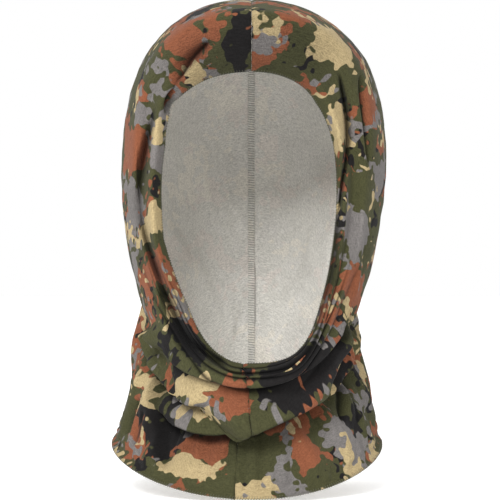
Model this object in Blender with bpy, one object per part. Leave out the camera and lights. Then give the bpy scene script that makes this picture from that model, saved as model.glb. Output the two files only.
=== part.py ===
"""Tube scarf of printed cotton jersey, shaped as it sits when it is worn as a hooded balaclava.

Two panels, left and right, are sewn into a tube by a front seam and a back seam. One end of the
tube frames the face, and the other hangs round the neck as a skirt. The frame has +Z up, the face
looks along -Y, +X is the wearer's left, and the origin is where the crown of the head touches the
inside of the cloth.

The tube is described by rings, one after another along the cloth, from the edge round the face to
the bottom edge. A ring crosses the front seam at its front point and the back seam at its top
point, and in between it swings out to its side points.
"""

import math
from collections import namedtuple

import bmesh
import bpy
import numpy as np

MM = 0.001

CLOTH_THICKNESS = 1.0 * MM
GAP = 0.3 * MM
PANEL_ROUGHNESS = 0.9
EDGE_THREAD_RADIUS = 0.8 * MM
THREAD_ROUGHNESS = 0.7
SEAM_WIDTH = 4.0 * MM
SEAM_DEPTH = 1.1 * MM
SEAM_THICKNESS = 1.0 * MM
LABEL_WIDTH = 18.0 * MM
LABEL_THICKNESS = 0.4 * MM
LABEL_ROUGHNESS = 0.6
SHARP_ANGLE = math.radians(50)

ROWS_PER_RING = 3
COLUMNS_PER_PANEL = 20
THREAD_SIDES = 5
LABEL_ROWS = 3
SAMPLE_STEP = 1e-3

# Sizes in millimetres. Front and top points are given as y and z on the centre plane, side points
# as y, z and the reach to the wearer's right (-X) and left (+X). The last two values bend the
# outline between them: 1 is an ellipse, and less is fuller.
Ring = namedtuple(
    "Ring",
    "front_y front_z top_y top_z side_y side_z reach_right reach_left front_curve top_curve",
)
RINGS = (
    Ring(-90, -255, -84, -55.5, -50, -127, 62, 61, 0.66, 0.95),  # edge round the face
    Ring(-98, -260, -94, -46, -58, -125, 68, 66, 0.72, 0.94),  # roll that lies on the cheeks
    Ring(-98, -263, -101, -35, -46, -122, 75, 72, 0.80, 0.92),  # groove behind the roll
    Ring(-99, -265, -104, -23, -46, -118, 83, 82, 0.88, 0.92),  # front of the rim
    Ring(-100, -268, -96, -14, -30, -114, 89, 90, 0.96, 0.92),  # ridge of the rim
    Ring(-102, -276, -15, 0.5, -4, -114, 95, 97, 1.08, 0.90),  # crown
    Ring(-101, -286, 58, -15, 14, -130, 95, 96, 1.15, 0.90),  # slope behind the crown
    Ring(-97, -294, 104, -80, 23, -164, 90, 91, 1.15, 0.90),  # back of the head
    Ring(-84, -298, 100, -161, 20, -206, 79, 77, 1.05, 0.92),  # crease under the chin
    Ring(-86, -307, 87, -226, 14, -250, 85, 81, 0.95, 0.95),  # neck
    Ring(-91, -327, 91, -273, 5, -292, 90, 87, 0.95, 0.95),  # skirt
    Ring(-92, -347, 97, -306, 0, -317, 97, 92, 0.95, 0.95),  # bottom edge
)
LAST_RING = len(RINGS) - 1

CLOTH_COLOUR = (0.09, 0.085, 0.05)
THREAD_COLOUR = (0.12, 0.12, 0.08)
LABEL_COLOUR = (0.75, 0.74, 0.70)


def ring_values(station):
    """The ring fields at positions along the cloth, on a smooth curve through every ring."""
    table = np.array(RINGS, dtype=float)
    padded = np.vstack([2 * table[0] - table[1], table, 2 * table[-1] - table[-2]])
    index = np.clip(np.floor(station).astype(int), 0, LAST_RING - 1)
    t = (station - index)[..., None]
    before, start, end, after = (padded[index + k] for k in range(4))
    return 0.5 * (
        2 * start
        + (end - before) * t
        + (2 * before - 5 * start + 4 * end - after) * t**2
        + (3 * start - before - 3 * end + after) * t**3
    )


def cloth_points(station, angle):
    """Points in the middle of the cloth. The angle is 0 at the front seam, pi at the back seam."""
    fields = Ring(*np.moveaxis(ring_values(station), -1, 0))
    across = np.abs(np.sin(angle))
    forward = np.cos(angle)
    curve = fields.top_curve + (fields.front_curve - fields.top_curve) * (1 + forward) / 2
    reach = np.where(np.sin(angle) < 0, -fields.reach_right, fields.reach_left)
    middle_y = (fields.front_y + fields.top_y) / 2
    middle_z = (fields.front_z + fields.top_z) / 2
    x = reach * across**curve
    y = middle_y + (fields.front_y - middle_y) * forward + (fields.side_y - middle_y) * across**2
    z = middle_z + (fields.front_z - middle_z) * forward + (fields.side_z - middle_z) * across**2
    return np.stack([x, y, z], axis=-1) * MM


def cloth_rows():
    """The positions along the cloth that its rows of vertices take."""
    return np.linspace(0, LAST_RING, LAST_RING * ROWS_PER_RING + 1)


def unit(vectors):
    return vectors / np.linalg.norm(vectors, axis=-1, keepdims=True)


def cloth_frame(station, angle):
    """Points on the cloth with the direction along it, towards the bottom edge, and outwards."""
    step = SAMPLE_STEP
    along = unit(cloth_points(station + step, angle) - cloth_points(station - step, angle))
    # The direction round the tube is read just beside a seam, where both samples are on one panel.
    beside = np.clip(angle, step - math.pi, math.pi - step)
    beside = np.where(np.abs(beside) < step, np.copysign(step, angle), beside)
    half = step / 2
    around = unit(cloth_points(station, beside + half) - cloth_points(station, beside - half))
    outward = unit(np.cross(along, around))
    return cloth_points(station, angle), along, outward


def add_object(name, vertices, faces, colour, roughness):
    """One named object of one closed mesh, shaded smooth, with its own material."""
    mesh = bpy.data.meshes.new(name)
    mesh.from_pydata([tuple(map(float, v)) for v in vertices], [], faces)
    shell = bmesh.new()
    shell.from_mesh(mesh)
    bmesh.ops.recalc_face_normals(shell, faces=shell.faces)
    shell.to_mesh(mesh)
    shell.free()
    mesh.shade_smooth()
    mesh.set_sharp_from_angle(angle=SHARP_ANGLE)
    material = bpy.data.materials.new(name)
    material.use_nodes = True
    shader = material.node_tree.nodes["Principled BSDF"]
    shader.inputs["Base Color"].default_value = (*colour, 1.0)
    shader.inputs["Roughness"].default_value = roughness
    shader.inputs["Metallic"].default_value = 0.0
    mesh.materials.append(material)
    bpy.context.scene.collection.objects.link(bpy.data.objects.new(name, mesh))


def skin_faces(rows, columns, start, wrap):
    """Quads over a grid of vertices numbered row by row. A wrapped grid joins its end columns."""
    faces = []
    for row in range(rows - 1):
        for column in range(columns if wrap else columns - 1):
            after = (column + 1) % columns
            corners = (row, column), (row, after), (row + 1, after), (row + 1, column)
            faces.append([start + r * columns + c for r, c in corners])
    return faces


def shell_faces(rows, columns):
    """Faces of a thick sheet: two grids of the same size, and a border that joins them."""
    count = rows * columns
    border = list(range(columns))
    border += [row * columns + columns - 1 for row in range(1, rows)]
    border += [(rows - 1) * columns + column for column in range(columns - 2, -1, -1)]
    border += [row * columns for row in range(rows - 2, 0, -1)]
    rim = [
        [here, after, after + count, here + count]
        for here, after in zip(border, border[1:] + border[:1])
    ]
    return skin_faces(rows, columns, 0, False) + skin_faces(rows, columns, count, False) + rim


def add_panel(name, side):
    """Half of the tube, from the front seam to the back seam, on the side given as -1 or +1."""
    angles = side * np.linspace(0, math.pi, COLUMNS_PER_PANEL + 1)
    station, angle = np.meshgrid(cloth_rows(), angles, indexing="ij")
    points, _, outward = cloth_frame(station, angle)
    outward[:, (0, -1), 0] = 0
    outward = unit(outward)
    points[..., 0] += side * GAP / 2
    skins = [points + outward * CLOTH_THICKNESS / 2 * face for face in (1, -1)]
    vertices = np.concatenate([skin.reshape(-1, 3) for skin in skins])
    add_object(name, vertices, shell_faces(*station.shape), CLOTH_COLOUR, PANEL_ROUGHNESS)


def add_strip(name, angle, stations, size, colour, roughness):
    """A flat strip inside the cloth along a seam. Its size is width, depth from the middle of the
    cloth to the strip, and thickness."""
    width, depth, thickness = size
    points, along, _ = cloth_frame(stations, np.full_like(stations, angle))
    points[:, 0] = 0
    inward = unit(np.cross((math.cos(angle), 0.0, 0.0), along))
    outline = (
        (-width / 2, depth),
        (width / 2, depth),
        (width / 2, depth + thickness),
        (-width / 2, depth + thickness),
    )
    corners = [points + inward * inset + np.array([x, 0.0, 0.0]) for x, inset in outline]
    vertices = np.stack(corners, axis=1).reshape(-1, 3)
    last = len(vertices) - 4
    ends = [[0, 1, 2, 3], [last, last + 1, last + 2, last + 3]]
    faces = skin_faces(len(stations), 4, 0, True) + ends
    add_object(name, vertices, faces, colour, roughness)


def add_seam(name, angle):
    """The overlocked allowance of one seam, from one cut edge almost to the other."""
    stations = cloth_rows()[1:-1]
    size = SEAM_WIDTH, SEAM_DEPTH, SEAM_THICKNESS
    add_strip(name, angle, stations, size, THREAD_COLOUR, THREAD_ROUGHNESS)


def add_care_label():
    """The blank label sewn into the back seam, inside the skirt above the bottom edge."""
    depth = SEAM_DEPTH + SEAM_THICKNESS + GAP
    stations = cloth_rows()[-LABEL_ROWS - 1 : -1]
    size = LABEL_WIDTH, depth, LABEL_THICKNESS
    add_strip("care_label", math.pi, stations, size, LABEL_COLOUR, LABEL_ROUGHNESS)


def add_edge_thread(name, station, outside):
    """The overlock thread round a cut edge, a closed cord just beyond the edge of both panels."""
    angles = np.linspace(-math.pi, math.pi, 2 * COLUMNS_PER_PANEL, endpoint=False)
    points, along, outward = cloth_frame(np.full_like(angles, station), angles)
    centres = points + along * outside * (GAP + EDGE_THREAD_RADIUS)
    turns = math.pi + np.arange(THREAD_SIDES) * 2 * math.pi / THREAD_SIDES
    vertices = np.concatenate([
        centres + EDGE_THREAD_RADIUS * (along * outside * math.cos(turn) + outward * math.sin(turn))
        for turn in turns
    ])
    faces = skin_faces(THREAD_SIDES, len(angles), 0, True)
    last = (THREAD_SIDES - 1) * len(angles)
    for column in range(len(angles)):
        after = (column + 1) % len(angles)
        faces.append([last + column, last + after, after, column])
    add_object(name, vertices, faces, THREAD_COLOUR, THREAD_ROUGHNESS)


def main():
    for old in list(bpy.data.objects):
        bpy.data.objects.remove(old)
    add_panel("right_panel", -1)
    add_panel("left_panel", 1)
    add_seam("front_seam", 0.0)
    add_seam("back_seam", math.pi)
    add_care_label()
    add_edge_thread("face_edge_overlock", 0.0, -1)
    add_edge_thread("bottom_edge_overlock", float(LAST_RING), 1)


main()
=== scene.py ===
"""The looks of a printed jersey tube scarf that is worn as a hooded balaclava.

The cloth repeats the rings of the CAD part. Then it gets the creases, laps and rolls of a soft
tube that is gathered under the chin, the small wrinkles of a cloth simulation, and a print of
lobed patches. The creases and the broad areas of the print are placed as an eye in front of the
face sees them: x to the right and z up, in millimetres.
"""

import math
from collections import namedtuple

import bpy
import numpy as np
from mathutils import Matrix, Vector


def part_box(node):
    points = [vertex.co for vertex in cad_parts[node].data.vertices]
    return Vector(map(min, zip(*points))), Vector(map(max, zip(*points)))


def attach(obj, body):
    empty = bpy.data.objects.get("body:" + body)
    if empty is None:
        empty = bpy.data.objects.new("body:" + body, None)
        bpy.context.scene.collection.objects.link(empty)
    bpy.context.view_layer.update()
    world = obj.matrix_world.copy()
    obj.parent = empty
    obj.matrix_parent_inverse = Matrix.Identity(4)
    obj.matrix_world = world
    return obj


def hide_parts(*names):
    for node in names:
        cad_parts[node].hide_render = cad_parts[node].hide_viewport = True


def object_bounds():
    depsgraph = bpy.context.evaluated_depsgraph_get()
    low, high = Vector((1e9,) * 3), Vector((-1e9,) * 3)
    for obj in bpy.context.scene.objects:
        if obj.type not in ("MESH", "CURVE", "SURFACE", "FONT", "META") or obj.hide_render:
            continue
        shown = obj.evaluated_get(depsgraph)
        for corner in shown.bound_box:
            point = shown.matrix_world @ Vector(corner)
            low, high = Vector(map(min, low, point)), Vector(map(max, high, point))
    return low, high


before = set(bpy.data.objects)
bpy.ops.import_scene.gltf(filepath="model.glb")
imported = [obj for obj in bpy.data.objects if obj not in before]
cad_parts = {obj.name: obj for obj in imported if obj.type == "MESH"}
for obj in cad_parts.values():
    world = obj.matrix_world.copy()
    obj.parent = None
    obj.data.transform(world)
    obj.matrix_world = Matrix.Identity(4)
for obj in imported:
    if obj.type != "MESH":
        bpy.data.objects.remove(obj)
CAD_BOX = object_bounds()

MM = 0.001

# ---------------------------------------------------------------------------------------------
# The cloth's shape, as in the CAD part: sizes in millimetres.

CLOTH_THICKNESS = 0.8 * MM
SEAM_GAP = 0.16 * MM
SQUEEZED_SHARE = 0.4

ROWS_PER_RING = 24
COLUMNS_PER_PANEL = 168

Ring = namedtuple(
    "Ring",
    "front_y front_z top_y top_z side_y side_z reach_right reach_left front_curve top_curve",
)
RINGS = (
    Ring(-90, -255, -84, -55.5, -50, -127, 62, 61, 0.66, 0.95),  # edge round the face
    Ring(-98, -260, -94, -46, -58, -125, 68, 66, 0.72, 0.94),  # roll that lies on the cheeks
    Ring(-98, -263, -101, -35, -46, -122, 75, 72, 0.80, 0.92),  # groove behind the roll
    Ring(-99, -265, -104, -23, -46, -118, 83, 82, 0.88, 0.92),  # front of the rim
    Ring(-100, -268, -96, -14, -30, -114, 89, 90, 0.96, 0.92),  # ridge of the rim
    Ring(-102, -276, -15, 0.5, -4, -114, 95, 97, 1.08, 0.90),  # crown
    Ring(-101, -286, 58, -15, 14, -130, 95, 96, 1.15, 0.90),  # slope behind the crown
    Ring(-97, -294, 104, -80, 23, -164, 90, 91, 1.15, 0.90),  # back of the head
    Ring(-84, -298, 100, -161, 20, -206, 79, 77, 1.05, 0.92),  # crease under the chin
    Ring(-86, -307, 87, -226, 14, -250, 85, 81, 0.95, 0.95),  # neck
    Ring(-91, -327, 91, -273, 5, -292, 90, 87, 0.95, 0.95),  # skirt
    Ring(-92, -347, 97, -306, 0, -317, 97, 92, 0.95, 0.95),  # bottom edge
)
LAST_RING = len(RINGS) - 1

# The front seam wanders to the wearer's right by these angles, above and below the chin crease.
SEAM_DRIFT_HOOD = math.radians(-1.6)
SEAM_DRIFT_SKIRT = math.radians(-6.0)

# The eye that sees the creases and the areas of the print, and the plane that their places lie on.
EYE_X, EYE_Y, EYE_Z = -1.05, -1500.0, -177.6
SEEN_PLANE_Y = -50.0

# The tube sits a little askew: at height z, how far its sides move towards the wearer's left.
Lean = namedtuple("Lean", "z right left")
FACE_LEAN_FADE = (4, 25)
SIDE_LEAN_FADE = (20, 75)
FACE_EDGE_LEAN = (
    Lean(-250, 4, 4),
    Lean(-215, 3, 1),
    Lean(-170, -3, 0),
    Lean(-105, 0, -2),
    Lean(-75, -4, -4),
    Lean(-50, 0, 0),
)
HOOD_LEAN = (
    Lean(-240, 3, -5),
    Lean(-190, 2, -3),
    Lean(-105, 2, 0),
    Lean(-40, 0, 3),
    Lean(-5, 0, 0),
)
SKIRT_LEAN = (
    Lean(-340, 0, 0),
    Lean(-308, -2, 0),
    Lean(-275, 1, 0),
    Lean(-250, -1, -4),
    Lean(-235, 0, 0),
)


def smooth_curve(rows, place):
    """Values on a smooth curve through every one of the rows, at places counted in rows."""
    padded = np.vstack([2 * rows[0] - rows[1], rows, 2 * rows[-1] - rows[-2]])
    index = np.clip(np.floor(place).astype(int), 0, len(rows) - 2)
    t = (place - index)[..., None]
    before, start, end, after = (padded[index + k] for k in range(4))
    return 0.5 * (
        2 * start
        + (end - before) * t
        + (2 * before - 5 * start + 4 * end - after) * t**2
        + (3 * start - before - 3 * end + after) * t**3
    )


def smooth_step(low, high, value):
    t = np.clip((value - low) / (high - low), 0, 1)
    return t * t * (3 - 2 * t)


def unit(vectors):
    return vectors / np.maximum(np.linalg.norm(vectors, axis=-1, keepdims=True), 1e-12)


def cloth_points(station, angle):
    """Points in the middle of the cloth. The angle is 0 at the front seam, pi at the back seam."""
    fields = Ring(*np.moveaxis(smooth_curve(np.array(RINGS, dtype=float), station), -1, 0))
    drift = SEAM_DRIFT_HOOD + (SEAM_DRIFT_SKIRT - SEAM_DRIFT_HOOD) * smooth_step(7.9, 8.8, station)
    turned = angle + drift * ((1 + np.cos(angle)) / 2) ** 2
    across = np.abs(np.sin(turned))
    forward = np.cos(turned)
    curve = fields.top_curve + (fields.front_curve - fields.top_curve) * (1 + forward) / 2
    reach = np.where(np.sin(turned) < 0, -fields.reach_right, fields.reach_left)
    middle_y = (fields.front_y + fields.top_y) / 2
    middle_z = (fields.front_z + fields.top_z) / 2
    x = reach * across**curve
    y = middle_y + (fields.front_y - middle_y) * forward + (fields.side_y - middle_y) * across**2
    z = middle_z + (fields.front_z - middle_z) * forward + (fields.side_z - middle_z) * across**2
    return np.stack([x, y, z], axis=-1) * MM


def lean_cloth(points, station):
    """The cloth with its sides moved to where they sit, at the face, on the hood and on the skirt."""
    x = points[..., 0] / MM
    z = points[..., 2] / MM
    at_face = 1 - smooth_step(1, 4, station)
    on_skirt = smooth_step(8, 9, station)
    zones = (
        (FACE_EDGE_LEAN, at_face * smooth_step(*FACE_LEAN_FADE, np.abs(x))),
        (HOOD_LEAN, (1 - at_face) * (1 - on_skirt) * smooth_step(*SIDE_LEAN_FADE, np.abs(x))),
        (SKIRT_LEAN, on_skirt * smooth_step(*SIDE_LEAN_FADE, np.abs(x))),
    )
    moved = points.copy()
    for table, weight in zones:
        height, right, left = np.array(table).T
        sides = np.where(x < 0, np.interp(z, height, right), np.interp(z, height, left))
        moved[..., 0] += sides * weight * MM
    return moved


def seen_from_front(points):
    """Where the eye in front of the face sees points: x and z in millimetres on the seen plane."""
    nearer = (SEEN_PLANE_Y - EYE_Y) / (points[..., 1] / MM - EYE_Y)
    x = EYE_X + (points[..., 0] / MM - EYE_X) * nearer
    z = EYE_Z + (points[..., 2] / MM - EYE_Z) * nearer
    return np.stack([x, z], axis=-1)


# ---------------------------------------------------------------------------------------------
# Creases. A path is a list of (x, z) as seen. A lap is a roll of cloth that stands proud on the
# left of the path's direction and hangs over the other side. A step is a lap that hangs over
# nothing. A groove is a valley that narrows to its ends, a ridge the opposite, and a slot a groove
# that is pressed straight back. Only the cloth between the two stations takes part.

Fold = namedtuple("Fold", "kind height width spread stations path")
FOLDS = (
    # The pouch under the chin hangs over the skirt, and has a crease inside it.
    Fold("lap", 7.8, 3.6, 18, (6.5, 10.5), [(-75, -285), (-30, -305), (20, -292), (60, -263), (72, -225)]),
    Fold("lap", 7, 3, 12, (4.5, 9), [(-72, -230), (-65, -260), (-30, -288)]),
    # The cuff lies on the pouch.
    Fold("lap", 4.5, 2, 9, (0, 7.5), [(-65, -240), (-40, -262), (0, -273), (40, -258), (75, -215)]),
    # A flap of the skirt.
    Fold("step", 3.5, 2.2, 10, (7.5, 11), [(-65, -335), (-70, -258)]),
    # Between the cheek roll and the rim, with an open pocket low on the wearer's right.
    Fold("slot", 9, 3.4, 0, (0, 4.6), [(-67, -75), (-79, -145), (-60, -212)]),
    Fold("slot", 18, 5.5, 0, (0, 4.6), [(-65, -200), (-45, -240), (-15, -262)]),
    Fold("slot", 10, 1.9, 0, (0, 4.6), [(61, -52), (67, -95), (61, -155)]),
    Fold("slot", 9, 4, 0, (0, 4.6), [(62, -145), (56, -195), (42, -236)]),
    # Along the outside of the rim.
    Fold("groove", 3.5, 3, 0, (3, 6), [(-76, -75), (-79, -160)]),
    Fold("groove", 4, 2.5, 0, (3, 6), [(76, -52), (83, -120)]),
    Fold("ridge", 2, 2, 0, (3, 7), [(78, -145), (72, -215)]),
    # The brow band tucks under the rim.
    Fold("groove", 6, 4, 0, (0, 5.5), [(-28, -30), (-50, -52), (-60, -85)]),
    # The neck pulls in the skirt.
    Fold("groove", 3, 2.8, 0, (8.4, 11), [(65, -255), (65, -300)]),
    Fold("groove", 3, 2.2, 0, (8.4, 11), [(70, -250), (75, -302)]),
    Fold("groove", 2.6, 2.8, 0, (8.4, 11), [(-79, -280), (-88, -308)]),
    Fold("groove", 2.4, 2.6, 0, (8.4, 11), [(-73, -290), (-82, -316)]),
)
FOLD_SAMPLES = 120
ROLL = 3.2
END_FADE = 0.14
TUCK_BELOW = (-2.8, -2.0)
TUCK_ABOVE = (-1.1, -0.7)
STEP_CREASE = 0.3
ROWS_OUTSIDE = 0.5
ROWS_INSIDE = 0.1
NARROWEST = 0.35
SUNK = {"ridge": 0, "groove": 1, "slot": 0.8}
FACING_FRONT = (0.02, 0.25)
FORWARD = np.array([0.0, -1.0, 0.0])


def smooth_path(points, count):
    """Evenly numbered samples of a curve through the points, with its direction at each."""
    points = np.array(points, dtype=float)
    curve = smooth_curve(points, np.linspace(0, len(points) - 1, count))
    return curve, unit(np.gradient(curve, axis=0))


def near_path(seen, path):
    """Distance to the left of a path, the way across it, place along it and distance past its ends."""
    curve, heading = smooth_path(path, FOLD_SAMPLES)
    away = seen[:, None, :] - curve[None, :, :]
    nearest = np.argmin(np.sum(away**2, axis=-1), axis=1)
    offset = away[np.arange(len(seen)), nearest]
    along = heading[nearest]
    distance = along[:, 0] * offset[:, 1] - along[:, 1] * offset[:, 0]
    beyond = np.sum(offset * along, axis=1)
    across = np.stack([-along[:, 1], np.zeros(len(seen)), along[:, 0]], axis=1)
    return distance, across, nearest / (FOLD_SAMPLES - 1), beyond


def lap_shape(fold, distance, fade):
    """How far a lap or a step lifts and slides the cloth, and how deep the cloth lies in it."""
    turn = distance / fold.width
    lift = fold.height * np.tanh(turn) * np.exp(-((distance / fold.spread) ** 2)) * fade
    # The band round the lap's fold that the material darkens as painted crease shade.
    crease = smooth_step(*TUCK_BELOW, turn) * smooth_step(*TUCK_ABOVE, -turn) * fade
    if fold.kind == "step":
        return lift, np.zeros_like(lift), STEP_CREASE * crease
    slide = -ROLL * fold.width * turn * np.exp(-(turn**2) / 2) * fade
    return lift, slide, crease


def valley_shape(fold, distance, place, fade):
    """The same for a groove, a slot or a ridge, which don't slide the cloth."""
    narrow = fold.width * (NARROWEST + (1 - NARROWEST) * np.sin(math.pi * place) ** 0.7)
    depth = fold.height if fold.kind == "ridge" else -fold.height
    lift = depth * np.exp(-np.abs(distance / narrow) ** 2.2) * fade
    # How deep the cloth lies in the valley, which the material darkens as painted shade.
    crease = SUNK[fold.kind] * np.exp(-3 * (distance / narrow) ** 2) * fade
    return lift, np.zeros_like(lift), crease


def fold_cloth(points, outward, station):
    """The cloth with every crease pressed into its front, how far each point was lifted, and how
    deep it lies in a crease, from 0 to 1, which the material darkens as painted shade."""
    facing = smooth_step(*FACING_FRONT, -outward[..., 1]).ravel()
    flat = points.reshape(-1, 3).copy()
    seen = seen_from_front(flat)
    normals = outward.reshape(-1, 3)
    lifted = np.zeros(len(flat))
    creased = np.zeros(len(flat))
    for fold in FOLDS:
        path = np.array(fold.path)
        reach = 3 * max(fold.width, fold.spread)
        first, last = fold.stations
        in_view = np.all((seen > path.min(0) - reach) & (seen < path.max(0) + reach), axis=1)
        in_rows = (station.ravel() > first - ROWS_OUTSIDE) & (station.ravel() < last + ROWS_OUTSIDE)
        chosen = np.flatnonzero(in_view & in_rows & (facing > 0))
        distance, across, place, beyond = near_path(seen[chosen], fold.path)
        row = station.ravel()[chosen]
        starting = smooth_step(first - ROWS_OUTSIDE, first + ROWS_INSIDE, row)
        stopping = smooth_step(-last - ROWS_OUTSIDE, -last, -row)
        rows_fade = starting * stopping
        ends = smooth_step(0, END_FADE, place) * smooth_step(0, END_FADE, 1 - place)
        fade = np.exp(-((beyond / (2 * fold.width)) ** 2)) * ends * rows_fade * facing[chosen]
        if fold.kind in ("lap", "step"):
            lift, slide, crease = lap_shape(fold, distance, fade)
        else:
            lift, slide, crease = valley_shape(fold, distance, place, fade)
        way = FORWARD if fold.kind == "slot" else normals[chosen]
        flat[chosen] += (way * lift[:, None] + across * slide[:, None]) * MM
        lifted[chosen] += lift
        creased[chosen] = np.maximum(creased[chosen], crease)
    return flat.reshape(points.shape), lifted.reshape(station.shape), creased.reshape(station.shape)


# The cuff under the chin is gathered into rolls, one between each two of these stations.
CUFF_VALLEYS = (0.0, 0.7, 1.3, 2.1, 3.0, 4.2)
CUFF_HEIGHT = 3.4
CUFF_SLANT = 0.25
VALLEY_WIDTH = 0.17


def roll_cuff(points, station, angle):
    """The cloth with the rolls of the cuff standing forward, which run out towards the cheeks, and
    how deep each point lies between two rolls, which the material darkens as painted shade."""
    slanted = station + CUFF_SLANT * np.sin(2 * angle) * smooth_step(0, 1, station)
    near_chin = 1 - smooth_step(math.radians(30), math.radians(75), np.abs(angle))
    rolled = points.copy()
    creased = np.zeros_like(station)
    for valley in CUFF_VALLEYS[1:]:
        between = np.exp(-(((slanted - valley) / VALLEY_WIDTH) ** 2)) * near_chin
        creased = np.maximum(creased, between)
    for low, high in zip(CUFF_VALLEYS, CUFF_VALLEYS[1:]):
        place = np.clip((slanted - low) / (high - low), 0, 1)
        swell = np.sin(math.pi * place) ** 0.6 * CUFF_HEIGHT * math.sqrt(high - low)
        rolled += FORWARD * (swell * near_chin)[..., None] * MM
    return rolled, creased


def outward_normals(points):
    """Unit normals of a grid of points, rows along the cloth and columns round it."""
    around = np.gradient(points, axis=1)
    along = np.gradient(points, axis=0)
    normals = unit(np.cross(along, around))
    seam = unit(normals[:, 0] + normals[:, -1])
    normals[:, 0] = seam
    normals[:, -1] = seam
    return normals


# ---------------------------------------------------------------------------------------------
# Small wrinkles. The cloth is let go over the head in a cloth simulation, on a coarser net that
# has a little more cloth than the shape needs, and it buckles. Only the buckles are kept.

NET_STEP = 3
SPARE_CLOTH = 0.06
SIMULATED_FRAMES = 22
HEAD_CLEARANCE = 2.5 * MM
WRINKLE_GAIN = 0.8
WRINKLE_CAP = 2.2 * MM
STRETCHED_SHARE = 0.18
LOOSENESS = 0.95
NET_SMOOTHING = 3
DRIFT_ALONG = 80
DRIFT_AROUND = 120


def blur(values, axis, times):
    """Repeated averaging with both neighbours, with the ends repeated."""
    for _ in range(times):
        ends = [(0, 0)] * values.ndim
        ends[axis] = (1, 1)
        padded = np.pad(values, ends, mode="edge")
        count = values.shape[axis]
        before, here, after = (np.take(padded, range(k, k + count), axis=axis) for k in range(3))
        values = (before + 2 * here + after) / 4
    return values


def add_net(name, points):
    """A tube of quads through rows of points, each row a closed loop."""
    rows, columns = points.shape[:2]
    row, column = np.meshgrid(np.arange(rows - 1), np.arange(columns), indexing="ij")
    after = (column + 1) % columns
    corners = (row, column), (row, after), (row + 1, after), (row + 1, column)
    faces = np.stack([r * columns + c for r, c in corners], axis=-1).reshape(-1, 4)
    return new_object(name, points.reshape(-1, 3), faces)


def simulate_net(points, outward, held):
    """Where the points of a net end up when it is let go over the head. Held is its pinning."""
    head = add_net("head_form", points - outward * HEAD_CLEARANCE)
    head.modifiers.new("collision", "COLLISION")
    head.collision.thickness_outer = 1.0 * MM
    net = add_net("cloth_net", points)
    pins = net.vertex_groups.new(name="held")
    for number, weight in enumerate(held.ravel()):
        pins.add([number], float(weight), "REPLACE")
    cloth = net.modifiers.new("cloth", "CLOTH")
    cloth.settings.quality = 5
    cloth.settings.mass = 0.12
    cloth.settings.tension_stiffness = 12
    cloth.settings.compression_stiffness = 12
    cloth.settings.shear_stiffness = 4
    cloth.settings.bending_stiffness = 0.05
    cloth.settings.shrink_min = -SPARE_CLOTH
    cloth.settings.vertex_group_mass = "held"
    cloth.settings.pin_stiffness = 0.6
    cloth.settings.effector_weights.gravity = 0.6
    cloth.collision_settings.distance_min = 0.8 * MM
    cloth.point_cache.frame_end = SIMULATED_FRAMES
    scene = bpy.context.scene
    for step in range(1, SIMULATED_FRAMES + 1):
        scene.frame_set(step)
    settled = net.evaluated_get(bpy.context.evaluated_depsgraph_get())
    places = np.empty(3 * len(net.data.vertices))
    settled.data.vertices.foreach_get("co", places)
    bpy.data.objects.remove(net)
    bpy.data.objects.remove(head)
    scene.frame_set(1)
    return places.reshape(points.shape)


def finer(coarse, axis, count):
    """Values between the rows of a coarse grid, on a straight line from each to the next."""
    place = np.linspace(0, coarse.shape[axis] - 1, count)
    low = np.minimum(place.astype(int), coarse.shape[axis] - 2)
    shape = [1] * coarse.ndim
    shape[axis] = count
    part = (place - low).reshape(shape)
    return np.take(coarse, low, axis=axis) * (1 - part) + np.take(coarse, low + 1, axis=axis) * part


def wrinkles(points, outward, station):
    """How far each point moves when the cloth is let go: only the buckles and not the drift."""
    half = COLUMNS_PER_PANEL + 1
    right = np.arange(0, half, NET_STEP)
    left = np.arange(half + NET_STEP, 2 * half - NET_STEP, NET_STEP)
    chosen = np.ix_(np.arange(0, len(points), NET_STEP), np.concatenate([right, left]))
    # The face end as far as the rim is held, and so is the bottom edge. The rest is almost free.
    edges = np.minimum(smooth_step(0, 0.5, station), smooth_step(0, 0.4, LAST_RING - station))
    rim = smooth_step(4.0, 5.5, station)
    held = 1 - LOOSENESS * edges * rim
    places = simulate_net(points[chosen], outward[chosen], held[chosen])
    moves = places - points[chosen]
    count = len(right)
    doubled = np.concatenate([moves, moves[:, :1]], axis=1)
    panels = doubled[:, :count], doubled[:, count - 1 :]
    moves = np.concatenate([finer(panel, 1, half) for panel in panels], axis=1)
    moves = blur(finer(moves, 0, len(points)), 0, NET_SMOOTHING)
    outwards = np.sum(moves * outward, axis=-1)
    drift = blur(blur(outwards, 0, DRIFT_ALONG), 1, DRIFT_AROUND)
    buckle = np.clip(WRINKLE_GAIN * (outwards - drift), -WRINKLE_CAP, WRINKLE_CAP)
    # The hood is stretched over the head, and the neck is slack.
    slack = STRETCHED_SHARE + (1 - STRETCHED_SHARE) * smooth_step(6.8, 8.4, station)
    return outward * (slack * buckle)[..., None]


# ---------------------------------------------------------------------------------------------
# The print. Its patches are free noise, and these few broad areas of the front lean to one colour.

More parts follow.
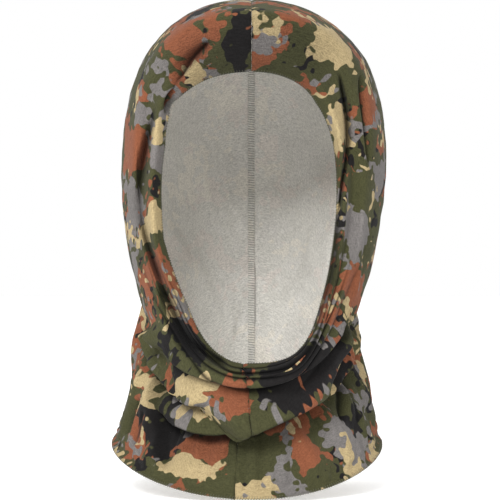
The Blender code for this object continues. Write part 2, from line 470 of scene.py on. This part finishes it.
Area = namedtuple("Area", "colour x z half_width half_height turn", defaults=(0,))
AREAS = (
    Area("black", -10, -30, 10, 20),  # the hood above the brow, on the wearer's right
    Area("black", 35, -265, 32, 16, 25),  # the pouch
    # The open pocket leans to black: partly its print, partly a painted stand-in for its deep shade.
    Area("black", -45, -240, 6, 24, 40),  # the open pocket
    Area("black", -60, -310, 10, 14),  # the skirt
    Area("orange", -50, -28, 18, 10, -30),
    Area("orange", -80, -110, 7, 18),
    Area("orange", 70, -200, 8, 16),
    Area("orange", -10, -282, 8, 13),
    Area("orange", -28, -315, 15, 10),
    Area("orange", 38, -318, 9, 20),
    Area("grey", -65, -48, 12, 6),
    Area("grey", -80, -140, 6, 20),
    Area("grey", 74, -165, 8, 12),
    Area("grey", 48, -308, 8, 10),
    Area("cream", 55, -38, 14, 16, -40),
    Area("cream", 62, -95, 6, 20),
    Area("cream", -38, -273, 12, 10),
    Area("cream", -50, -330, 16, 7),
    Area("cream", -68, -155, 5, 10),
    Area("green", 5, -325, 25, 15),
)
LEANING = 1.6
MAKING_WAY = 0.9


def area_fields(points, outward):
    """For each colour, how far the print leans to it: up on its own areas, down on the others."""
    seen = seen_from_front(points.reshape(-1, 3))
    front = smooth_step(0, 0.3, -outward.reshape(-1, 3)[:, 1])
    own = {ink.name: np.zeros(len(seen)) for ink in INKS}
    for area in AREAS:
        turn = math.radians(area.turn)
        x, z = (seen - (area.x, area.z)).T
        across = (x * math.cos(turn) + z * math.sin(turn)) / area.half_width
        up = (z * math.cos(turn) - x * math.sin(turn)) / area.half_height
        own[area.colour] += 0.5 ** ((across**2 + up**2) ** 2) * front
    everything = sum(own.values())
    return {name: LEANING * own[name] - MAKING_WAY * (everything - own[name]) for name in own}


# ---------------------------------------------------------------------------------------------
# Meshes


def skin_faces(rows, columns, start):
    row, column = np.meshgrid(np.arange(rows - 1), np.arange(columns - 1), indexing="ij")
    corner = start + row * columns + column
    quads = np.stack([corner, corner + 1, corner + columns + 1, corner + columns], axis=-1)
    return quads.reshape(-1, 4)


def border_loop(rows, columns):
    """Vertex numbers round a grid, in order."""
    top = np.arange(columns)
    right = np.arange(1, rows) * columns + columns - 1
    bottom = (rows - 1) * columns + np.arange(columns - 2, -1, -1)
    left = np.arange(rows - 2, 0, -1) * columns
    return np.concatenate([top, right, bottom, left])


def new_object(name, vertices, faces):
    mesh = bpy.data.meshes.new(name)
    mesh.from_pydata(np.asarray(vertices).tolist(), [], np.asarray(faces).tolist())
    mesh.shade_smooth()
    piece = bpy.data.objects.new(name, mesh)
    bpy.context.scene.collection.objects.link(piece)
    return piece


def sheet_shell(name, middle, normals, thickness):
    """A grid of points as a closed thin sheet. Its outer skin comes first, then its inner skin.
    The thickness is one number, or one for each point."""
    half = np.broadcast_to(thickness, middle.shape[:2])[..., None] / 2
    skins = [middle + normals * half * face for face in (1, -1)]
    rows, count = middle.shape[:2]
    total = rows * count
    loop = border_loop(rows, count)
    after = np.roll(loop, -1)
    rim = np.stack([after, loop, loop + total, after + total], axis=-1)
    outer = skin_faces(rows, count, 0)
    inner = skin_faces(rows, count, total)[:, ::-1]
    faces = np.concatenate([outer, inner, rim])
    vertices = np.concatenate([skin.reshape(-1, 3) for skin in skins])
    return new_object(name, vertices, faces[:, ::-1])


def add_attribute(piece, name, outer, inner):
    """Numbers or vectors for the vertices of a sheet shell, for its material to read."""
    values = np.concatenate([outer, inner]).astype(np.float32)
    if values.ndim == 1:
        piece.data.attributes.new(name, "FLOAT", "POINT").data.foreach_set("value", values)
    else:
        layer = piece.data.attributes.new(name, "FLOAT_VECTOR", "POINT")
        layer.data.foreach_set("vector", values.ravel())


def add_thread(name, points, radius, closed):
    """A round thread along a list of points."""
    curve = bpy.data.curves.new(name, "CURVE")
    curve.dimensions = "3D"
    curve.bevel_depth = radius
    curve.bevel_resolution = 1
    curve.use_fill_caps = True
    spline = curve.splines.new("POLY")
    spline.points.add(len(points) - 1)
    spline.points.foreach_set("co", np.hstack([points, np.ones((len(points), 1))]).ravel())
    spline.use_cyclic_u = closed
    piece = bpy.data.objects.new(name, curve)
    bpy.context.scene.collection.objects.link(piece)
    return piece


# ---------------------------------------------------------------------------------------------
# Materials


def new_material(name, roughness):
    material = bpy.data.materials.new(name)
    material.use_nodes = True
    tree = material.node_tree
    shader = tree.nodes["Principled BSDF"]
    shader.inputs["Roughness"].default_value = roughness
    return material, tree, shader


def set_input(tree, socket, value):
    """Links a socket to another, or gives it a number or a tuple."""
    if isinstance(value, bpy.types.NodeSocket):
        tree.links.new(value, socket)
    else:
        socket.default_value = value


def attribute(tree, name, output="Fac"):
    node = tree.nodes.new("ShaderNodeAttribute")
    node.attribute_name = name
    return node.outputs[output]


def math_node(tree, operation, *values, clamp=False):
    node = tree.nodes.new("ShaderNodeMath")
    node.operation = operation
    node.use_clamp = clamp
    for socket, value in zip(node.inputs, values):
        set_input(tree, socket, value)
    return node.outputs[0]


def vector_node(tree, operation, *values):
    node = tree.nodes.new("ShaderNodeVectorMath")
    node.operation = operation
    for socket, value in zip(node.inputs, values):
        set_input(tree, socket, value)
    return node.outputs[0]


def noise(tree, place, size, detail=0.0):
    """Smooth noise from 0 to 1 whose bumps are about this size in metres."""
    node = tree.nodes.new("ShaderNodeTexNoise")
    node.inputs["Scale"].default_value = 1 / size
    node.inputs["Detail"].default_value = detail
    set_input(tree, node.inputs["Vector"], place)
    return node.outputs["Fac"]


def mix_colour(tree, factor, first, second, blend="MIX"):
    node = tree.nodes.new("ShaderNodeMix")
    node.data_type = "RGBA"
    node.blend_type = blend
    sockets = [s for s in node.inputs if s.type == "RGBA"]
    set_input(tree, node.inputs["Factor"], factor)
    for socket, value in zip(sockets, (first, second)):
        set_input(tree, socket, value)
    return next(s for s in node.outputs if s.type == "RGBA")


def add_bump(tree, shader, height, distance, strength):
    node = tree.nodes.new("ShaderNodeBump")
    node.inputs["Strength"].default_value = strength
    node.inputs["Distance"].default_value = distance
    set_input(tree, node.inputs["Height"], height)
    tree.links.new(node.outputs["Normal"], shader.inputs["Normal"])


# The inks in the order of printing. An ink covers less of the cloth when its threshold is higher.
Ink = namedtuple("Ink", "name colour threshold")
GROUND_COLOUR = (0.050, 0.050, 0.022, 1)
INKS = (
    Ink("black", (0.011, 0.010, 0.010, 1), 0.60),
    Ink("orange", (0.195, 0.067, 0.033, 1), 0.59),
    Ink("grey", (0.145, 0.134, 0.128, 1), 0.63),
    Ink("cream", (0.360, 0.280, 0.150, 1), 0.67),
    Ink("green", GROUND_COLOUR, 0.66),
)
CLUSTER_SIZE = 27 * MM
LOBE_SIZE = 5.8 * MM
FREE_GAIN = 5.0
LOBE_GAIN = 2.6
INK_EDGE = 9.0
REVERSE_COLOUR = (0.78, 0.76, 0.71, 1)
PRINT_THROUGH = 0.20
# How much painted shade darkens creases, sunken folds and the band above the brow, and how much paler
# raised folds are.
CREASE_SHADE = 0.85
RAISED_WEAR_AND_SUNKEN_SHADE = 0.18
SHELTER_SHADE = 0.34
GRAIN_SIZE = 0.9 * MM
GRAIN_SHADE = 0.9
STREAK_SHADE = 0.7
FADING_SIZE = 45 * MM
FADING_SHADE = 0.35
WALE = 0.95 * MM
COURSE = 0.80 * MM
KNIT_DEPTH = 0.05 * MM
THREAD_COLOUR = (0.085, 0.085, 0.05)
FIBRE_SIZE = 0.25 * MM
FIBRE_DEPTH = 0.04 * MM
LABEL_RIB = 0.5 * MM
LABEL_FLOAT = 0.6 * MM
LABEL_COLOURS = (0.62, 0.61, 0.56, 1), (0.82, 0.81, 0.77, 1)


def print_colour(tree, place):
    """The colour of the print: the ground, then every ink over it where its field is above 0."""
    colour = GROUND_COLOUR
    for number, ink in enumerate(INKS):
        shifted = vector_node(tree, "ADD", place, (0.31 * number, 0.17 * number, 0.23 * number))
        cluster = noise(tree, shifted, CLUSTER_SIZE)
        lobes = math_node(tree, "SUBTRACT", noise(tree, shifted, LOBE_SIZE), 0.5)
        above = math_node(tree, "SUBTRACT", cluster, ink.threshold)
        free = math_node(tree, "MULTIPLY", above, FREE_GAIN)
        leaning = math_node(tree, "ADD", free, attribute(tree, "area_" + ink.name))
        field = math_node(tree, "MULTIPLY_ADD", lobes, LOBE_GAIN, leaning)
        mask = math_node(tree, "MULTIPLY_ADD", field, INK_EDGE, 0.5, clamp=True)
        colour = mix_colour(tree, mask, colour, ink.colour)
    return colour


def jersey_shade(tree, place, knit, grain):
    """Light and dark of the cloth: heathered yarn and fading, raised folds paler as wear, and painted
    shade in sunken folds, in creases, between the cuff's rolls and on the band above the brow.
    """
    streaked = vector_node(tree, "MULTIPLY", knit, (0.25, 1.0, 1.0))
    streaks = noise(tree, streaked, GRAIN_SIZE, 1.0)
    fading = noise(tree, place, FADING_SIZE, 2.0)
    # Raised folds paler as wear, sunken folds darker as painted shade.
    wear_and_painted_shade = math_node(tree, "MULTIPLY", attribute(tree, "lifted"), RAISED_WEAR_AND_SUNKEN_SHADE)
    # Painted shade on the band above the brow.
    wear_and_painted_shade = math_node(tree, "MULTIPLY_ADD", attribute(tree, "brow_painted_shade"), -SHELTER_SHADE, wear_and_painted_shade)
    shade = 1.0
    for field, strength in ((grain, GRAIN_SHADE), (streaks, STREAK_SHADE), (fading, FADING_SHADE)):
        centred = math_node(tree, "SUBTRACT", field, 0.5)
        shade = math_node(tree, "MULTIPLY_ADD", centred, strength, shade)
    shade = math_node(tree, "ADD", shade, wear_and_painted_shade)
    # Painted shade: darker where the cloth lies in a crease or between the cuff's rolls.
    painted_crease_shade = math_node(tree, "MULTIPLY_ADD", attribute(tree, "creased"), -CREASE_SHADE, 1.0)
    return math_node(tree, "MULTIPLY", shade, painted_crease_shade)


def knit_height(tree, knit, grain):
    """Fine columns and rows of stitches, with the unevenness of the yarn."""
    split = tree.nodes.new("ShaderNodeSeparateXYZ")
    tree.links.new(knit, split.inputs[0])
    wale = math_node(tree, "SINE", math_node(tree, "MULTIPLY", split.outputs["X"], 2 * math.pi / WALE))
    course_turn = math_node(tree, "MULTIPLY", split.outputs["Y"], 2 * math.pi / COURSE)
    course = math_node(tree, "SINE", math_node(tree, "ADD", course_turn, wale))
    height = math_node(tree, "MULTIPLY_ADD", course, 0.6, wale)
    return math_node(tree, "MULTIPLY_ADD", grain, 2.5, height)


def jersey_material():
    """Printed cotton jersey: lobed patches, heathered yarn, a paler reverse and a fine knit."""
    material, tree, shader = new_material("printed_jersey", 0.88)
    shader.inputs["Specular IOR Level"].default_value = 0.10
    shader.inputs["Sheen Weight"].default_value = 0.03
    shader.inputs["Sheen Roughness"].default_value = 0.5
    place = attribute(tree, "cloth", "Vector")
    knit = attribute(tree, "knit", "Vector")
    through = math_node(tree, "MULTIPLY", attribute(tree, "inside"), 1 - PRINT_THROUGH)
    colour = mix_colour(tree, through, print_colour(tree, place), REVERSE_COLOUR)
    grain = noise(tree, place, GRAIN_SIZE, 2.0)
    tone = tree.nodes.new("ShaderNodeCombineColor")
    shade = jersey_shade(tree, place, knit, grain)
    for socket in tone.inputs:
        tree.links.new(shade, socket)
    colour = mix_colour(tree, 1.0, colour, tone.outputs[0], "MULTIPLY")
    tree.links.new(colour, shader.inputs["Base Color"])
    add_bump(tree, shader, knit_height(tree, knit, grain), KNIT_DEPTH, 0.7)
    return material


def thread_material(name, colour):
    """Spun polyester sewing thread: fine twisted fibres and a soft gloss."""
    material, tree, shader = new_material(name, 0.6)
    shader.inputs["Sheen Weight"].default_value = 0.2
    place = tree.nodes.new("ShaderNodeTexCoord").outputs["Object"]
    fibres = noise(tree, place, FIBRE_SIZE, 2.0)
    dark = tuple(0.6 * c for c in colour) + (1,)
    mixed = mix_colour(tree, fibres, dark, colour + (1,))
    tree.links.new(mixed, shader.inputs["Base Color"])
    add_bump(tree, shader, fibres, FIBRE_DEPTH, 0.6)
    return material


def label_material():
    """White woven satin: fine ribs across the tape, and a slightly uneven white."""
    material, tree, shader = new_material("label_tape", 0.42)
    shader.inputs["Sheen Weight"].default_value = 0.3
    knit = attribute(tree, "knit", "Vector")
    split = tree.nodes.new("ShaderNodeSeparateXYZ")
    tree.links.new(knit, split.inputs[0])
    rib_turn = math_node(tree, "MULTIPLY", split.outputs["Y"], 2 * math.pi / LABEL_RIB)
    ribs = math_node(tree, "SINE", rib_turn)
    floats = noise(tree, vector_node(tree, "MULTIPLY", knit, (4, 1, 1)), LABEL_FLOAT)
    tint = mix_colour(tree, floats, *LABEL_COLOURS)
    tree.links.new(tint, shader.inputs["Base Color"])
    add_bump(tree, shader, math_node(tree, "ADD", ribs, floats), FIBRE_DEPTH, 0.6)
    return material


# ---------------------------------------------------------------------------------------------
# Pieces

# Heights in millimetres and lengths along the cloth in metres.
SEAM_SINK = 0.75
SEAM_VALLEY = 1.5 * MM
PUCKER_HEIGHT = 0.22
PUCKER_LENGTH = 6.5 * MM
PUCKER_REACH = 5 * MM
# How far from each other in the noise, in metres, the prints of the panels and allowances lie.
PANEL_PRINT_SHIFT = 0.4
ALLOWANCE_PRINT_SHIFT = 0.9

POINTS_PER_TURN = 10
STITCH_PITCH = 1.9 * MM
THREAD_RADIUS = 0.17 * MM
EDGE_BITE = 1.1 * MM
EDGE_OVERHANG = 0.35 * MM
ALLOWANCE_WIDTH = 5.0 * MM
ALLOWANCE_THICKNESS = 1.2 * MM
ALLOWANCE_COLUMNS = 9
ALLOWANCE_CLEARANCE = 0.25 * MM
CREASE_ROWS = 12

LABEL_COLUMNS = 25
LABEL_THICKNESS = 0.35 * MM
LABEL_DEPTH = 2.9 * MM
LABEL_CURL = 0.8 * MM


def claim(piece, material, slot, *nodes):
    """Gives a piece its material, hangs it under the root body and hides the CAD nodes it stands for. The
    slot is not used.
    """
    piece.data.materials.append(material)
    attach(piece, "root")
    if nodes:
        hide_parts(*nodes)


def cloth_grid():
    """Stations and angles of the whole tube's grid. Each panel has its own columns."""
    stations = np.linspace(0, LAST_RING, LAST_RING * ROWS_PER_RING + 1)
    half = np.linspace(0, math.pi, COLUMNS_PER_PANEL + 1)
    angles = np.concatenate([-half[::-1], half])
    return np.meshgrid(stations, angles, indexing="ij")


def knit_places(points):
    """How far each point lies round the tube from the front seam, and along it from the face."""
    front = COLUMNS_PER_PANEL
    around = np.linalg.norm(np.diff(points, axis=1), axis=-1)
    around = np.concatenate([np.zeros((len(points), 1)), np.cumsum(around, axis=1)], axis=1)
    around -= around[:, front : front + 1]
    along = np.linalg.norm(np.diff(points, axis=0), axis=-1)
    along = np.concatenate([np.zeros((1, points.shape[1])), np.cumsum(along, axis=0)])
    return around, along


def pull_seams(points, outward, around, along):
    """Sinks the cloth into a puckered valley along both seams."""
    from_left = np.abs(around[:, -1:] - around)
    from_right = np.abs(around[:, :1] - around)
    off_seam = np.minimum(np.abs(around), np.minimum(from_left, from_right))
    pucker = PUCKER_HEIGHT * np.sin(2 * math.pi * along / PUCKER_LENGTH)
    pucker = pucker * np.exp(-((off_seam / PUCKER_REACH) ** 2))
    sink = -SEAM_SINK * np.exp(-((off_seam / SEAM_VALLEY) ** 2)) + pucker
    return points + outward * sink[..., None] * MM


def add_panels(points, normals, base, marks, skins, knit, material):
    """Both panels. The marks are fields for the material that only the outer skin has, and the
    skins are the thickness of the cloth and how much of its reverse shows."""
    thickness, reverse = skins
    fields = area_fields(points, normals)
    half = COLUMNS_PER_PANEL + 1
    for node, side, columns in (
        ("right_panel", -1, slice(0, half)),
        ("left_panel", 1, slice(half, 2 * half)),
    ):
        middle = points[:, columns].copy()
        middle[..., 0] += side * SEAM_GAP / 2
        piece = sheet_shell(node + "_cloth", middle, normals[:, columns], thickness[:, columns])
        place = base[:, columns].reshape(-1, 3) + (PANEL_PRINT_SHIFT * side, 0, 0)
        flat_knit = knit[:, columns].reshape(-1, 3)
        add_attribute(piece, "cloth", place, place)
        add_attribute(piece, "knit", flat_knit, flat_knit)
        for name, field in fields.items():
            own = field.reshape(thickness.shape)[:, columns].ravel()
            add_attribute(piece, "area_" + name, own, own)
        for name, mark in marks.items():
            own = mark[:, columns].ravel()
            add_attribute(piece, name, own, np.zeros_like(own))
        add_attribute(piece, "inside", np.zeros(len(place)), reverse[:, columns].ravel())
        claim(piece, material, "printed_jersey", node)


def wrapped_thread(centre, sideways, upward, half_width, half_height, pitch, closed):
    """A thread wound round a strip: an oblong helix with one turn for each stitch."""
    if closed:
        centre, sideways, upward = (np.vstack([a, a[:1]]) for a in (centre, sideways, upward))
    length = np.concatenate([[0], np.cumsum(np.linalg.norm(np.diff(centre, axis=0), axis=1))])
    turns = round(length[-1] / pitch)
    count = turns * POINTS_PER_TURN + (0 if closed else 1)
    place = np.arange(count) / (turns * POINTS_PER_TURN) * length[-1]
    centre, sideways, upward = (
        np.stack([np.interp(place, length, a[:, k]) for k in range(3)], axis=1)
        for a in (centre, sideways, upward)
    )
    turn = 2 * math.pi * np.arange(count) / POINTS_PER_TURN
    across = np.sign(np.cos(turn)) * np.abs(np.cos(turn)) ** 0.5 * half_width
    up = np.sign(np.sin(turn)) * np.abs(np.sin(turn)) ** 0.5 * half_height
    return centre + sideways * across[:, None] + upward * up[:, None]


def add_edge_threads(points, normals, material):
    """The overlock round both cut edges of the tube."""
    keep = np.arange(points.shape[1]) != COLUMNS_PER_PANEL + 1
    keep[-1] = False
    for node, row, inner_row in (("face_edge_overlock", 0, 3), ("bottom_edge_overlock", -1, -4)):
        edge, normal = points[row, keep], normals[row, keep]
        off_cloth = unit(edge - points[inner_row, keep])
        centre = edge - off_cloth * (EDGE_BITE - EDGE_OVERHANG)
        height = CLOTH_THICKNESS / 2 + THREAD_RADIUS
        path = wrapped_thread(centre, off_cloth, normal, EDGE_BITE, height, STITCH_PITCH, True)
        piece = add_thread(node + "_thread", path, THREAD_RADIUS, True)
        claim(piece, material, "sewing_thread", node)


def near_rows(values, combine):
    """Each row combined with the rows on both sides of it, and the ends repeated."""
    padded = np.pad(values, CREASE_ROWS, mode="edge")
    return combine([padded[k : len(values) + k] for k in range(2 * CREASE_ROWS + 1)], axis=0)


def behind_creases(depths):
    """The deepest of the rows on both sides of each row, smoothed."""
    return near_rows(near_rows(depths, np.max), np.mean)


def allowance_strip(name, centre, sideways, upward):
    """The strip of cloth of a seam allowance, which shows only the reverse of the jersey."""
    steps = np.linspace(-ALLOWANCE_WIDTH / 2, ALLOWANCE_WIDTH / 2, ALLOWANCE_COLUMNS)
    middle = centre[:, None] + sideways[:, None] * steps[None, :, None]
    normals = np.repeat(upward[:, None], len(steps), axis=1)
    strip = sheet_shell(name, middle, normals, ALLOWANCE_THICKNESS)
    place = middle.reshape(-1, 3) + (ALLOWANCE_PRINT_SHIFT, 0, 0)
    add_attribute(strip, "cloth", place, place)
    add_attribute(strip, "knit", place, place)
    nothing = np.zeros(len(place))
    for mark in ["area_" + ink.name for ink in INKS] + ["lifted", "creased", "brow_painted_shade"]:
        add_attribute(strip, mark, nothing, nothing)
    add_attribute(strip, "inside", nothing + 1, nothing + 1)
    return strip


def add_seams(points, normals, cloth, jersey, thread):
    """The overlocked allowance of each seam, on the inside of the cloth and of its creases."""
    for node, column in (("front_seam", COLUMNS_PER_PANEL), ("back_seam", 0)):
        path = points[3:-3, column].copy()
        if node == "front_seam":
            path[:, 1] = behind_creases(np.maximum(points[3:-3, column, 1], cloth[3:-3, column, 1]))
        inward = -normals[3:-3, column]
        along = unit(np.gradient(path, axis=0))
        sideways = unit(np.cross(along, inward))
        depth = CLOTH_THICKNESS / 2 + ALLOWANCE_THICKNESS / 2 + ALLOWANCE_CLEARANCE
        centre = path + inward * depth
        strip = allowance_strip(node + "_allowance", centre, sideways, -inward)
        claim(strip, jersey, "printed_jersey")
        half = ALLOWANCE_WIDTH / 2
        height = ALLOWANCE_THICKNESS / 2 + THREAD_RADIUS
        wound = wrapped_thread(centre, sideways, inward, half, height, STITCH_PITCH, False)
        piece = add_thread(node + "_thread", wound, THREAD_RADIUS, False)
        claim(piece, thread, "sewing_thread", node)


def add_label(points, normals, material):
    """The blank satin label, a tape that hangs inside the skirt over the back seam."""
    low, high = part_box("care_label")
    column = points[:, 0]
    rows = np.flatnonzero((column[:, 2] > low[2]) & (column[:, 2] < high[2]) & (column[:, 1] > 0))
    path = column[rows[0] : rows[-1] + 1]
    inward = -normals[rows[0] : rows[-1] + 1, 0]
    width = high[0] - low[0]
    steps = np.linspace(-0.5, 0.5, LABEL_COLUMNS)
    curl = LABEL_CURL * np.cos(2 * math.pi * steps)
    middle = path[:, None] + inward[:, None] * (LABEL_DEPTH + curl)[None, :, None]
    middle[..., 0] += steps * width
    grid_normals = np.repeat(inward[:, None], len(steps), axis=1)
    tape = sheet_shell("care_label_tape", middle, grid_normals, LABEL_THICKNESS)
    place = middle.reshape(-1, 3)
    add_attribute(tape, "knit", place[:, (0, 2, 1)], place[:, (0, 2, 1)])
    claim(tape, material, "label_tape", "care_label")


# Angles from the front seam in radians, stations, and lifts in millimetres, each from low to high.
# An angle that is negative here falls off away from the seam.
CUFF_SIDES = (-1.4, -0.9)
CUFF_END = (4.5, 5.5)
LIP_SIDES = (-0.7, -0.4)
LIP_LIFT = (1.5, 2.5)
SQUEEZING_LIFT = (0.5, 2)
BROW_END = (2.2, 4.2)
BROW_SIDES = (2.1, 2.7)


def cloth_skins(station, angle, lifted):
    """The thickness of the cloth at each point, and how much of its pale reverse shows there."""
    # The tight rolls under the chin and the lips of the deep folds show no reverse.
    under_chin = smooth_step(*CUFF_SIDES, -np.abs(angle)) * (1 - smooth_step(*CUFF_END, station))
    lips = smooth_step(*LIP_SIDES, -np.abs(angle)) * smooth_step(*LIP_LIFT, np.abs(lifted))
    hidden = np.maximum(under_chin, lips)
    # The cloth is squeezed thin in every fold.
    squeezed = smooth_step(*SQUEEZING_LIFT, np.abs(lifted)) * (1 - SQUEEZED_SHARE)
    thickness = CLOTH_THICKNESS * (1 - np.maximum(squeezed, hidden * (1 - SQUEEZED_SHARE)))
    return thickness, 1 - hidden


def cloth_marks(station, angle, lifted, creased):
    """The fields that paint wear on raised folds and shade elsewhere on the outside of the cloth."""
    # The band above the brow lies under the rim, and is darkened with painted shade.
    brow_painted_shade = (1 - smooth_step(*BROW_END, station)) * smooth_step(*BROW_SIDES, np.abs(angle))
    return {"lifted": np.clip(lifted / 5, -1, 0.25), "creased": creased, "brow_painted_shade": brow_painted_shade}


def main():
    station, angle = cloth_grid()
    base = lean_cloth(cloth_points(station, angle), station)
    rolled, between_rolls = roll_cuff(base, station, angle)
    base_normals = outward_normals(base)
    folded, lifted, creased = fold_cloth(rolled, base_normals, station)
    creased = np.maximum(creased, between_rolls)
    wrinkled = wrinkles(base, base_normals, station)
    folded += wrinkled
    normals = outward_normals(folded)
    around, along = knit_places(folded)
    cloth = pull_seams(folded, normals, around, along)
    normals = outward_normals(cloth)
    knit = np.stack([around, along, np.zeros_like(along)], axis=-1)
    jersey = jersey_material()
    thread = thread_material("sewing_thread", THREAD_COLOUR)
    marks = cloth_marks(station, angle, lifted, creased)
    skins = cloth_skins(station, angle, lifted)
    add_panels(cloth, normals, base, marks, skins, knit, jersey)
    add_seams(base + wrinkled, base_normals, cloth, jersey, thread)
    add_edge_threads(cloth, normals, thread)
    add_label(cloth, normals, label_material())


# ---------------------------------------------------------------------------------------------
# Camera, light and floor

LENS = 149.1
SENSOR_WIDTH = 36
KEY_PLACE = (-0.50, -1.50, 0.85)
KEY_SIZE = 0.7
KEY_POWER = 26
LIGHT_AIM = (0, 0, -0.17)
FLOOR_REACH = 6.0
FLOOR_GLOW = 0.3


def add_camera():
    data = bpy.data.cameras.new("camera")
    data.lens = LENS
    data.sensor_width = SENSOR_WIDTH
    camera = bpy.data.objects.new("camera", data)
    camera.location = (EYE_X * MM, EYE_Y * MM, EYE_Z * MM)
    camera.rotation_euler = (math.radians(90), 0, 0)
    bpy.context.scene.collection.objects.link(camera)
    bpy.context.scene.camera = camera


def add_area_light(name, location, size, power):
    data = bpy.data.lights.new(name, "AREA")
    data.size = size
    data.energy = power
    light = bpy.data.objects.new(name, data)
    light.location = location
    aim = np.array(LIGHT_AIM) - np.array(location)
    light.rotation_euler = (
        math.atan2(math.hypot(aim[0], aim[1]), -aim[2]),
        0,
        math.atan2(aim[1], aim[0]) - math.pi / 2,
    )
    bpy.context.scene.collection.objects.link(light)


def add_stage():
    world = bpy.data.worlds.new("studio")
    world.use_nodes = True
    world.node_tree.nodes["Background"].inputs["Color"].default_value = (1, 1, 1, 1)
    world.node_tree.nodes["Background"].inputs["Strength"].default_value = 1.0
    bpy.context.scene.world = world
    low = CAD_BOX[0][2]
    turns = (-1, -1), (1, -1), (1, 1), (-1, 1)
    corners = [(x * FLOOR_REACH, y * FLOOR_REACH, low) for x, y in turns]
    floor = new_object("floor", corners, [(0, 1, 2, 3)])
    paint, _, shader = new_material("floor_paint", 0.9)
    shader.inputs["Base Color"].default_value = (0.9, 0.9, 0.9, 1)
    shader.inputs["Emission Color"].default_value = (1, 1, 1, 1)
    shader.inputs["Emission Strength"].default_value = FLOOR_GLOW
    floor.data.materials.append(paint)
    bpy.context.scene.view_settings.view_transform = "Standard"


main()
add_camera()
add_area_light("key", KEY_PLACE, KEY_SIZE, KEY_POWER)
add_stage()
